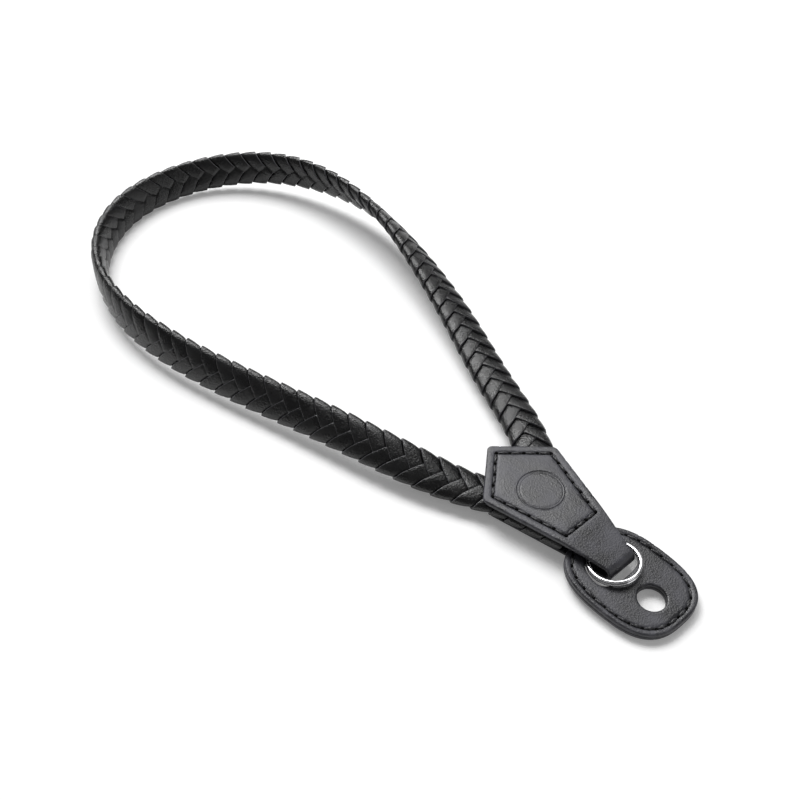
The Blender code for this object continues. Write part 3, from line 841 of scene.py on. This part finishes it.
def half_along(place):
    """Half-width of the strip at a place along it."""
    if place < fold_start:
        return half_at(cover_side(0), place)
    if place < fold_end:
        share = (place - fold_start) / (fold_end - fold_start)
        return TONGUE_HALF_WIDTH * (1 - share) + UNDER_HALF_WIDTH * share
    back = float(np.interp(place, travel, path[:, 0]))
    wide = half_at(cover_side(UNDER_INSET), back)
    return max(wide, UNDER_HALF_WIDTH) if back > UNDER_NECK_FROM else wide


def from_end(line):
    """The same points, measured back from the strip's far end."""
    return [(strip_end + RUN_OUT - u, half) for u, half in line]


top_side = [(u, half) for u, half in cover_side(0) if u < TONGUE_BEND_AT]
under_side = from_end([(u, half) for u, half in cover_side(UNDER_INSET) if u < TONGUE_BEND_AT])
neck = [(p, half_along(p)) for p in np.arange(TONGUE_BEND_AT, strip_end - TONGUE_BEND_AT, STRIP_STEP)]
strip_outline = whole(top_side + neck + sorted(under_side))
seam_side = cut_at(cover_side(SEAM_INSET, SEAM_TIP_RADIUS, SEAM_CORNER_RADIUS), SEAM_END_AT)
seam_line = anticlockwise(whole(seam_side))
under_seam = anticlockwise(from_end(seam_line))
print("the flat strip is", round(np.ptp([u for u, _ in strip_outline]) / MM, 1), "mm long")

# %% [markdown]
# ## Press and fold the cover
# The seams are pressed into the outer face, the pentagon bulges a little between them, and two plain circles
# are pressed into it as decoration. A last function lays the flat strip along its side view.

# %% Heights and fold of the cover
EDGE_ROUNDING = 0.5 * MM
COVER_INNER_ROUNDING = 0.35 * MM
SEAM_HALF_WIDTH = 0.85 * MM
SEAM_DEPTH = 0.42 * MM
CIRCLE_RADIUS = 6.85 * MM
CIRCLE_HALF_WIDTH = 0.36 * MM
CIRCLE_DEPTH = 0.20 * MM
INNER_CIRCLE_RADIUS = 6.15 * MM
INNER_HALF_WIDTH = 0.18 * MM
INNER_DEPTH = 0.09 * MM
BULGE = 0.12 * MM
BULGE_FROM_SEAM = 0.6 * MM
BULGE_WIDTH = 3 * MM
FACE_SUNK = 0.05 * MM


def cover_top_height(flat, rim):
    """Height of the strip's outer face above its middle line."""
    seam = np.minimum(distance_to([seam_line], flat), distance_to([under_seam], flat))
    radius = np.hypot(flat[:, 0] - ORIGIN_FROM_TIP, flat[:, 1])
    circle = CIRCLE_DEPTH * pressed(np.abs(radius - CIRCLE_RADIUS), CIRCLE_HALF_WIDTH)
    inner = INNER_DEPTH * pressed(np.abs(radius - INNER_CIRCLE_RADIUS), INNER_HALF_WIDTH)
    bulge = np.clip((seam - BULGE_FROM_SEAM) / BULGE_WIDTH, 0, 1) * BULGE
    face = LEATHER / 2 - FACE_SUNK + np.where(within(seam_line, flat), bulge, 0)
    return face - rounding(rim, EDGE_ROUNDING) - SEAM_DEPTH * pressed(seam, SEAM_HALF_WIDTH) - circle - inner


def cover_low_height(flat, rim):
    """Height of the strip's inner face."""
    return -LEATHER / 2 + rounding(rim, COVER_INNER_ROUNDING)


def heading(k):
    """Direction of the side view at one of its points."""
    step = path[min(k + 1, len(path) - 1)] - path[max(k - 1, 0)]
    return step / np.linalg.norm(step)


def fold_cover(point, height):
    """Lay a point of the flat strip along the side view."""
    place, side = point
    i = int(np.clip(np.searchsorted(travel, place) - 1, 0, len(travel) - 2))
    share = (place - travel[i]) / (travel[i + 1] - travel[i])
    spot = path[i] + (path[i + 1] - path[i]) * share
    along = heading(i) * (1 - share) + heading(i + 1) * share
    along /= np.linalg.norm(along)
    return (spot[0] - along[1] * height - ORIGIN_FROM_TIP, side, spot[1] + along[0] * height)


# %% [markdown]
# ## The cover's leather
# Dense lines along each groove keep it crisp, and rows of points across the fold keep it round. The sheet
# takes the place of the solid cover.

# %% The cover's leather
SHEET_GRID = 0.9 * MM
SEAM_LINE_STEP = 0.6 * MM
SEAM_LINES = (-0.8, -0.5, -0.25, 0, 0.25, 0.5, 0.8)
CIRCLE_LINES = (-0.30, -0.15, 0, 0.15, 0.30, 0.45)
INNER_LINES = (-0.25, -0.10, 0, 0.10, 0.25)
CIRCLE_STEPS = 120
FOLD_ROW_POINTS = 13


def beside(line):
    """Copies of a seam line across its groove, finely divided."""
    return [finely(offset_line(line, offset * MM), SEAM_LINE_STEP) for offset in SEAM_LINES]


circle_radii = [INNER_CIRCLE_RADIUS + offset * MM for offset in INNER_LINES]
circle_radii += [CIRCLE_RADIUS + offset * MM for offset in CIRCLE_LINES]
circle_lines = [[(ORIGIN_FROM_TIP + r * cos(turn), r * sin(turn)) for turn in turns_of(CIRCLE_STEPS)]
                for r in circle_radii]
fold_sides = np.linspace(-UNDER_HALF_WIDTH, UNDER_HALF_WIDTH, FOLD_ROW_POINTS)
fold_rows = [[(p, side) for side in fold_sides] for p in travel[1 : KNEE_STEPS + ARC_STEPS + len(HEEL) + 1]]
cover_lines = beside(seam_line) + beside(under_seam) + circle_lines + fold_rows
cover = sheet_piece("cover_leather", strip_outline, [], cover_lines, SHEET_GRID,
                    cover_top_height, cover_low_height, fold_cover, "strap")
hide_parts("end_cover")

# %% [markdown]
# ## The lining
# A thinner leather lies below the pentagon and runs on below the tongue, where it thins out before it reaches
# the ring. Only its edge shows, as a second line under the edge of the top leather.

# %% The cover's lining
LINING_TOP = 7.0 * MM
LINING = 0.8 * MM
LINING_END = 42.2 * MM
LINING_INSET = 0.45 * MM
LINING_ROUNDING = 0.2 * MM
LINING_THINNING = 0.45
LINING_THINS_OVER = 6 * MM
LINING_FALL = 0.116
LINING_GRID = 1.6 * MM
lining_outline = whole(cut_at(cover_side(LINING_INSET), LINING_END))


def fold_lining(point, height):
    """Lay the lining below the top leather, following the tongue's slope."""
    past = max(point[0] - TONGUE_BEND_AT, 0)
    thin = 1 - LINING_THINNING * min(past / LINING_THINS_OVER, 1)
    return (point[0] - ORIGIN_FROM_TIP, point[1],
            LINING_TOP - past * LINING_FALL - (LINING / 2 - height) * thin)


lining = sheet_piece("lining_leather", lining_outline, [], [], LINING_GRID,
                     lambda flat, rim: LINING / 2 - rounding(rim, LINING_ROUNDING),
                     lambda flat, rim: -LINING / 2 + rounding(rim, LINING_ROUNDING), fold_lining, "strap")
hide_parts("cover_lining")

# %% [markdown]
# ## The flap's outline
# The flap keeps the ring off the camera. It rises a little from its round end to the tongue, so it is drawn
# in its own flat frame and then tilted, with its hinge edge at the back. The ring lies in its D-shaped slot,
# and the camera's lug comes through its round hole.

# %% Outlines of flap, slot and hole
FLAP_BACK_AT = 38.4 * MM
FLAP_BACK_HEIGHT = 1.7 * MM
FLAP_LENGTH = 35.9 * MM
FLAP_HALF_WIDTH = 13.75 * MM
FLAP_BACK_SQUARENESS = 2.5
FLAP_END_SQUARENESS = 2.8
FLAP_SKEW = 0.058
FLAP_STEPS = 120
FLAP_SIDE = -0.5 * MM
FLAP_TILT = asin(FLAP_BACK_HEIGHT / FLAP_LENGTH)
FLAP_SEAM_INSET = 1.8 * MM
RING_FROM_BACK = 12.2 * MM
SLOT_RADIUS = 8.1 * MM
SLOT_FRONT = 16.9 * MM
SLOT_SQUARENESS = 2.5
SLOT_STEPS = 90
HOLE_FROM_BACK = 25.8 * MM
HOLE_RADIUS = 4.0 * MM
HOLE_STEPS = 72
ROUND = 2.0


def squared_oval(centre, back, ahead, wide, back_squareness, ahead_squareness, count):
    """An oval round a point on the x axis, with its own length and squareness behind and ahead of it."""
    outline = []
    for turn in turns_of(count):
        long, squareness = (ahead, ahead_squareness) if cos(turn) > 0 else (back, back_squareness)
        x = long * abs(cos(turn)) ** (2 / squareness) * np.sign(cos(turn))
        y = wide * abs(sin(turn)) ** (2 / squareness) * np.sign(sin(turn))
        outline.append((centre + float(x), float(y)))
    return outline


def flap_outline(inset):
    """The flap's outline, set in by inset and a little askew."""
    middle = FLAP_LENGTH / 2
    long = middle - inset
    oval = squared_oval(middle, long, long, FLAP_HALF_WIDTH - inset,
                        FLAP_BACK_SQUARENESS, FLAP_END_SQUARENESS, FLAP_STEPS)
    return [(x, y + FLAP_SKEW * (x - middle)) for x, y in oval]


slot = squared_oval(RING_FROM_BACK, SLOT_RADIUS, SLOT_FRONT - RING_FROM_BACK, SLOT_RADIUS,
                    ROUND, SLOT_SQUARENESS, SLOT_STEPS)
hole = squared_oval(HOLE_FROM_BACK, HOLE_RADIUS, HOLE_RADIUS, HOLE_RADIUS, ROUND, ROUND, HOLE_STEPS)
flap_seam = anticlockwise(flap_outline(FLAP_SEAM_INSET))
print("flap tilt", round(degrees(FLAP_TILT), 2), "degrees")

# %% [markdown]
# ## The flap's two leathers
# Two leathers are glued and sewn together, with a thin dark line between their rounded edges. The seam is
# pressed into both outer faces.

# %% The flap's two leathers
FLAP_THICKNESS = 2.8 * MM
FLAP_LINING = 1.35 * MM
GLUE_LOW = FLAP_LINING + 0.08 * MM
GLUE_HIGH = FLAP_LINING + 0.12 * MM
FLAP_SEAM_DEPTH = 0.3 * MM
FLAP_INNER_ROUNDING = 0.25 * MM
flap_turn = Euler((0, FLAP_TILT, 0)).to_matrix()
flap_place = Vector((FLAP_BACK_AT - ORIGIN_FROM_TIP, FLAP_SIDE, FLAP_BACK_HEIGHT))
flap_lines = beside(flap_seam)


def tilt_flap(point, height):
    """A point of the flap's flat frame in its tilted place."""
    return flap_place + flap_turn @ Vector((point[0], point[1], height))


def flap_worn(flat, rim):
    """How far an outer face of the flap lies inside its flat height."""
    seam = distance_to([flap_seam], flat)
    return rounding(rim, EDGE_ROUNDING) + FLAP_SEAM_DEPTH * pressed(seam, SEAM_HALF_WIDTH)


upper = sheet_piece("flap_upper_leather", flap_outline(0), [slot, hole], flap_lines, SHEET_GRID,
                    lambda flat, rim: FLAP_THICKNESS - flap_worn(flat, rim),
                    lambda flat, rim: GLUE_HIGH + rounding(rim, FLAP_INNER_ROUNDING), tilt_flap, "flap")
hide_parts("flap_leather")
lower = sheet_piece("flap_lower_leather", flap_outline(0), [slot, hole], flap_lines, SHEET_GRID,
                    lambda flat, rim: GLUE_LOW - rounding(rim, FLAP_INNER_ROUNDING),
                    flap_worn, tilt_flap, "flap")
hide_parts("flap_lining")

# %% [markdown]
# ## One stitch
# A saddle stitch shows as short plump lengths of thread that dip into a needle hole at each end. One stitch
# is modelled: two strands twisted together, and the hole at its first end.

# %% One stitch
STITCH = 4.0 * MM
STITCH_SHARE = 0.9
STITCH_ARCH = 0.42 * MM
STITCH_SINK = 0.30 * MM
THREAD_RADIUS = 0.32 * MM
STRAND_OFFSET = 0.17 * MM
STRAND_TWIST = 2.2 * pi
STRAND_STEPS = 12
STRAND_SIDES = 6
NEEDLE_HOLE = 0.70 * MM
NEEDLE_HOLE_DEPTH = 0.35 * MM
NEEDLE_HOLE_RIM = 0.03 * MM
NEEDLE_HOLE_SIDES = 10


def stitch_mesh():
    """Two twisted strands from hole to hole along X, and the needle hole at the first end."""
    verts = []
    faces = []
    for strand in (0, 1):
        faces += tube_faces(STRAND_STEPS + 1, STRAND_SIDES, len(verts))
        for i in range(STRAND_STEPS + 1):
            share = i / STRAND_STEPS - 0.5
            arch = 1 - abs(2 * share) ** 3
            twist = share * STRAND_TWIST + strand * pi
            off = STRAND_OFFSET * min(1.0, 2.4 * (0.5 - abs(share)) + 0.25)
            size = THREAD_RADIUS * (0.62 + 0.38 * arch)
            high = off * 0.5 * sin(twist) + STITCH_ARCH * arch - STITCH_SINK
            centre = Vector((share * STITCH * STITCH_SHARE, off * cos(twist), high))
            verts += [centre + Vector((0, size * cos(turn), size * 0.8 * sin(turn)))
                      for turn in turns_of(STRAND_SIDES)]
    strand_faces = len(faces)
    first = len(verts)
    last = first + NEEDLE_HOLE_SIDES
    verts += [(-STITCH / 2 + NEEDLE_HOLE * cos(turn), 0.8 * NEEDLE_HOLE * sin(turn), NEEDLE_HOLE_RIM)
              for turn in turns_of(NEEDLE_HOLE_SIDES)]
    verts.append((-STITCH / 2, 0, -NEEDLE_HOLE_DEPTH))
    faces.append(list(range(first, last)))
    faces += [[k, first + (k + 1 - first) % NEEDLE_HOLE_SIDES, last] for k in range(first, last)]
    mesh = smooth_mesh("one_stitch", verts, faces)
    marks = mesh.attributes.new("hole", "BOOLEAN", "FACE")
    marks.data.foreach_set("value", [i >= strand_faces for i in range(len(faces))])
    return mesh


one_stitch = placed("one_stitch", stitch_mesh())
print("one stitch:", len(one_stitch.data.polygons), "faces")

# %% [markdown]
# ## Sewing with Geometry Nodes
# The tree takes a line of needle holes. It puts the stitch at the middle of each length between two holes,
# turns it along that length, and stretches it to fit. A small random lean makes the seam look sewn by hand.

# %% The sewing tree
STITCH_LEAN = 0.09
sewing, given = new_tree("sew_seam", {
    "Stitch": "Object", "Stitch Length": "Float", "Up": "Vector", "Seed": "Int", "Thread": "Material",
    "Hole": "Material"})
ends = add(sewing, "GeometryNodeInputMeshEdgeVertices").outputs
span = add(sewing, "ShaderNodeVectorMath", {0: ends["Position 2"], 1: ends["Position 1"]},
           operation="SUBTRACT")
held = add(sewing, "GeometryNodeCaptureAttribute", {"Geometry": given["Geometry"]}, domain="EDGE")
held.capture_items.new("VECTOR", "Span")
fill(held, {"Span": span})
middles = add(sewing, "GeometryNodeMeshToPoints", {"Mesh": held}, mode="EDGES")
turn = add(sewing, "FunctionNodeAxesToRotation",
           {"Primary Axis": given["Up"], "Secondary Axis": held.outputs["Span"]},
           primary_axis="Z", secondary_axis="X")
length = add(sewing, "ShaderNodeVectorMath", {0: held.outputs["Span"]}, operation="LENGTH").outputs["Value"]
stretch = add(sewing, "ShaderNodeMath", {0: length, 1: given["Stitch Length"]}, operation="DIVIDE")
scale = add(sewing, "ShaderNodeCombineXYZ", {"X": stretch, "Y": 1.0, "Z": 1.0})
stitch_info = add(sewing, "GeometryNodeObjectInfo", {"Object": given["Stitch"]}).outputs["Geometry"]
sewn = add(sewing, "GeometryNodeInstanceOnPoints",
           {"Points": middles, "Instance": stitch_info, "Rotation": turn, "Scale": scale})
lean = add(sewing, "FunctionNodeRandomValue",
           {0: (0.0, 0.0, -STITCH_LEAN), 1: (0.0, 0.0, STITCH_LEAN), "Seed": given["Seed"]},
           data_type="FLOAT_VECTOR")
by_hand = add(sewing, "GeometryNodeRotateInstances", {"Instances": sewn, "Rotation": lean})
real = add(sewing, "GeometryNodeRealizeInstances", {"Geometry": by_hand})
threaded = add(sewing, "GeometryNodeSetMaterial", {"Geometry": real, "Material": given["Thread"]})
marked = add(sewing, "GeometryNodeInputNamedAttribute", {"Name": "hole"}, data_type="BOOLEAN")
pierced = add(sewing, "GeometryNodeSetMaterial",
              {"Geometry": threaded, "Selection": marked, "Material": given["Hole"]})
add(sewing, "NodeGroupOutput", {"Geometry": pierced})
print("sewing tree:", len(sewing.nodes), "nodes")

# %% [markdown]
# ## Sewing the seams
# Every needle hole is placed by counting: four stitches run from the pentagon's point to its wide corner, six
# on to the tongue, and three close the seam across it. The flap's round seam is divided evenly.

# %% Sew the four seams
COVER_STITCHES = (4, 6, 3, 6, 4)
COVER_THREAD_DEPTH = 0.22 * MM
FLAP_STITCH = 3.7 * MM
FLAP_THREAD_DEPTH = 0.2 * MM


def sew(name, points, up, node, body, seed):
    """Sew one stitch along each side of a closed line of needle holes, in place of the solid thread."""
    mesh = bpy.data.meshes.new(name)
    count = len(points)
    mesh.from_pydata([tuple(p) for p in points], [(k, (k + 1) % count) for k in range(count)], [])
    seam = placed(name + "_line", mesh)
    give(seam, sewing, {"Stitch": one_stitch, "Stitch Length": STITCH, "Up": up, "Seed": seed,
                        "Thread": thread, "Hole": hole_shade})
    made = baked(seam, name, body)
    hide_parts(node)
    print(name, count, "stitches,", len(made.data.polygons), "faces")


def evenly(line, length):
    """Points at equal distances round a closed line, as near to a length apart as fits."""
    closed = np.vstack([line, line[:1]])
    along = np.concatenate([[0], np.cumsum(np.linalg.norm(np.diff(closed, axis=0), axis=1))])
    places = np.linspace(0, along[-1], round(along[-1] / length), endpoint=False)
    return np.column_stack([np.interp(places, along, closed[:, axis]) for axis in (0, 1)])


corners = cover_side(SEAM_INSET, 0, 0)
tip, wide = corners[0], corners[1]
closing = half_at(corners, SEAM_END_AT)
turns = np.array([tip, wide, (SEAM_END_AT, closing), (SEAM_END_AT, -closing), (wide[0], -wide[1])])
cover_holes = [a + (b - a) * k / count
               for a, b, count in zip(turns, np.roll(turns, -1, axis=0), COVER_STITCHES)
               for k in range(count)]
flap_holes = evenly(flap_outline(FLAP_SEAM_INSET), FLAP_STITCH)
for name, z, up, node, seed in (("cover_stitches", COVER_TOP - COVER_THREAD_DEPTH, 1.0, "cover_thread", 1),
                                ("cover_stitches_under", COVER_THREAD_DEPTH, -1.0, "cover_thread_under", 2)):
    sew(name, [(u - ORIGIN_FROM_TIP, y, z) for u, y in cover_holes], (0.0, 0.0, up), node, "strap", seed)
for name, z, up, node, seed in (("flap_stitches", FLAP_THICKNESS - FLAP_THREAD_DEPTH, 1.0, "flap_thread", 3),
                                ("flap_stitches_under", FLAP_THREAD_DEPTH, -1.0, "flap_thread_under", 4)):
    above = tuple(flap_turn @ Vector((0, 0, up)))
    sew(name, [tilt_flap(p, z) for p in flap_holes], above, node, "flap", seed)
bpy.data.objects.remove(one_stitch)

# %% [markdown]
# ## The split ring
# A split ring is one wire wound twice, with a step where it crosses from the lower turn to the upper. The
# solid shows the same coil with few facets; here it gets rounded edges and many more steps, because polished
# metal shows every facet. It leans on the front of the slot and dips into the fold.

# %% The split ring
WIRE_RADIUS = 7.175 * MM
WIRE_WIDTH = 1.05 * MM
WIRE_HEIGHT = 0.9 * MM
WIRE_ROUNDNESS = 0.85
WIRE_SIDES = 20
RING_STEPS = 340
TURN_GAP = 0.12 * MM
CROSSING = radians(36)
WIRE_END_GAP = radians(6)
RING_AT = 28.6 * MM
RING_BACK_HEIGHT = 3.46 * MM
RING_OVER_SLOT = 0.5 * MM
RING_IN_FOLD = 2.5 * MM
slot_front_height = FLAP_BACK_HEIGHT - SLOT_FRONT * tan(FLAP_TILT) + FLAP_THICKNESS
ring_tilt = atan((slot_front_height + RING_OVER_SLOT - RING_IN_FOLD)
                 / (SLOT_FRONT - RING_FROM_BACK + WIRE_RADIUS))
ring_turn = Euler((0, -ring_tilt, 0)).to_matrix()
ring_place = Vector((RING_AT, FLAP_SIDE, RING_BACK_HEIGHT + WIRE_RADIUS * sin(ring_tilt)))
wire = []
for turn in turns_of(WIRE_SIDES):
    a = abs(cos(turn)) ** WIRE_ROUNDNESS * np.sign(cos(turn)) * WIRE_WIDTH / 2
    b = abs(sin(turn)) ** WIRE_ROUNDNESS * np.sign(sin(turn)) * WIRE_HEIGHT / 2
    wire.append((float(a), float(b)))
first = CROSSING / 2 + WIRE_END_GAP
verts = []
for turn in np.linspace(first, 4 * pi - first, RING_STEPS):
    climb = ease((turn - 2 * pi + CROSSING / 2) / CROSSING)
    level = (climb - 0.5) * (WIRE_HEIGHT + TURN_GAP)
    for a, b in wire:
        local = Vector((-cos(turn) * (WIRE_RADIUS + a), -sin(turn) * (WIRE_RADIUS + a), level + b))
        verts.append(ring_place + ring_turn @ local)
ring = mesh_piece("polished_split_ring", verts, tube_faces(RING_STEPS, WIRE_SIDES), steel, "ring")
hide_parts("split_ring")
print("ring tilt", round(degrees(ring_tilt), 2), "degrees")

# %% [markdown]
# ## The table
# The strap lies on a white sweep of paper. It looks white to the camera, but it still takes the strap's soft
# shadow: a small part of its light is its own, for the camera and for reflections.

# %% The floor
FLOOR_GLOW = 0.18
FLOOR_HALF = 3
FLOOR_BELOW = 0.02 * MM
floor_look, tree, shader = new_material("white_paper_sweep")
rays = add(tree, "ShaderNodeLightPath").outputs
own = add(tree, "ShaderNodeMath", {0: rays["Is Camera Ray"], 1: rays["Is Glossy Ray"]}, operation="MAXIMUM")
glow = add(tree, "ShaderNodeMath", {0: own, 1: FLOOR_GLOW}, operation="MULTIPLY")
fill(shader, {"Base Color": linear("#eeeeee"), "Roughness": 1.0, "Specular IOR Level": 0.0,
              "Emission Color": (1, 1, 1, 1), "Emission Strength": glow})
floor_mesh = bpy.data.meshes.new("floor")
corners = [(FLOOR_HALF * x, FLOOR_HALF * y, 0) for x, y in ((-1, -1), (1, -1), (1, 1), (-1, 1))]
floor_mesh.from_pydata(corners, [], [(0, 1, 2, 3)])
floor_mesh.materials.append(floor_look)
floor = placed("floor", floor_mesh)
floor.location = (0, 0, min(0.0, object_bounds()[0][2]) - FLOOR_BELOW)
print("floor at", round(floor.location.z / MM, 3), "mm")

# %% [markdown]
# ## The light
# A soft box above and to the left is the main light. A second one behind the strap gives the flat leather its
# sheen, and a weak low one on the right reaches the inside of the loop's far end. The world fills in the
# rest: it lights the strap evenly, is a little stronger in reflections, and is white to the camera.

# %% Lamps and world
LAMP_SIZE = 1.0
LAMP_TARGET = Vector((-0.05, 0, 0))
WORLD_LIGHT = 0.12
WORLD_SHEEN = 0.16


def soft_box(name, place, power):
    """A square area light that looks at the middle of the strap."""
    data = bpy.data.lights.new(name, "AREA")
    data.size = LAMP_SIZE
    data.energy = power
    lamp = placed(name, data)
    lamp.location = place
    lamp.rotation_euler = (LAMP_TARGET - lamp.location).to_track_quat("-Z", "Y").to_euler()


soft_box("key_left", (-1.29, 0.28, 1.50), 36)
soft_box("sheen_behind", (-0.70, 0.85, 1.60), 13)
soft_box("fill_right", (1.50, 0.50, 0.70), 4)
world = bpy.data.worlds.new("studio")
bpy.context.scene.world = world
world.use_nodes = True
tree = world.node_tree
rays = add(tree, "ShaderNodeLightPath").outputs
sheen = add(tree, "ShaderNodeMath", {0: rays["Is Glossy Ray"], 1: WORLD_SHEEN}, operation="MULTIPLY")
seen = add(tree, "ShaderNodeMath", {0: rays["Is Camera Ray"], 1: sheen}, operation="ADD")
level = add(tree, "ShaderNodeMath", {0: seen, 1: WORLD_LIGHT}, operation="MAXIMUM")
fill(tree.nodes["Background"], {"Color": (1, 1, 1, 1), "Strength": level})
bpy.context.scene.view_settings.view_transform = "Standard"
print("lamps:", [lamp.name for lamp in bpy.data.lights])
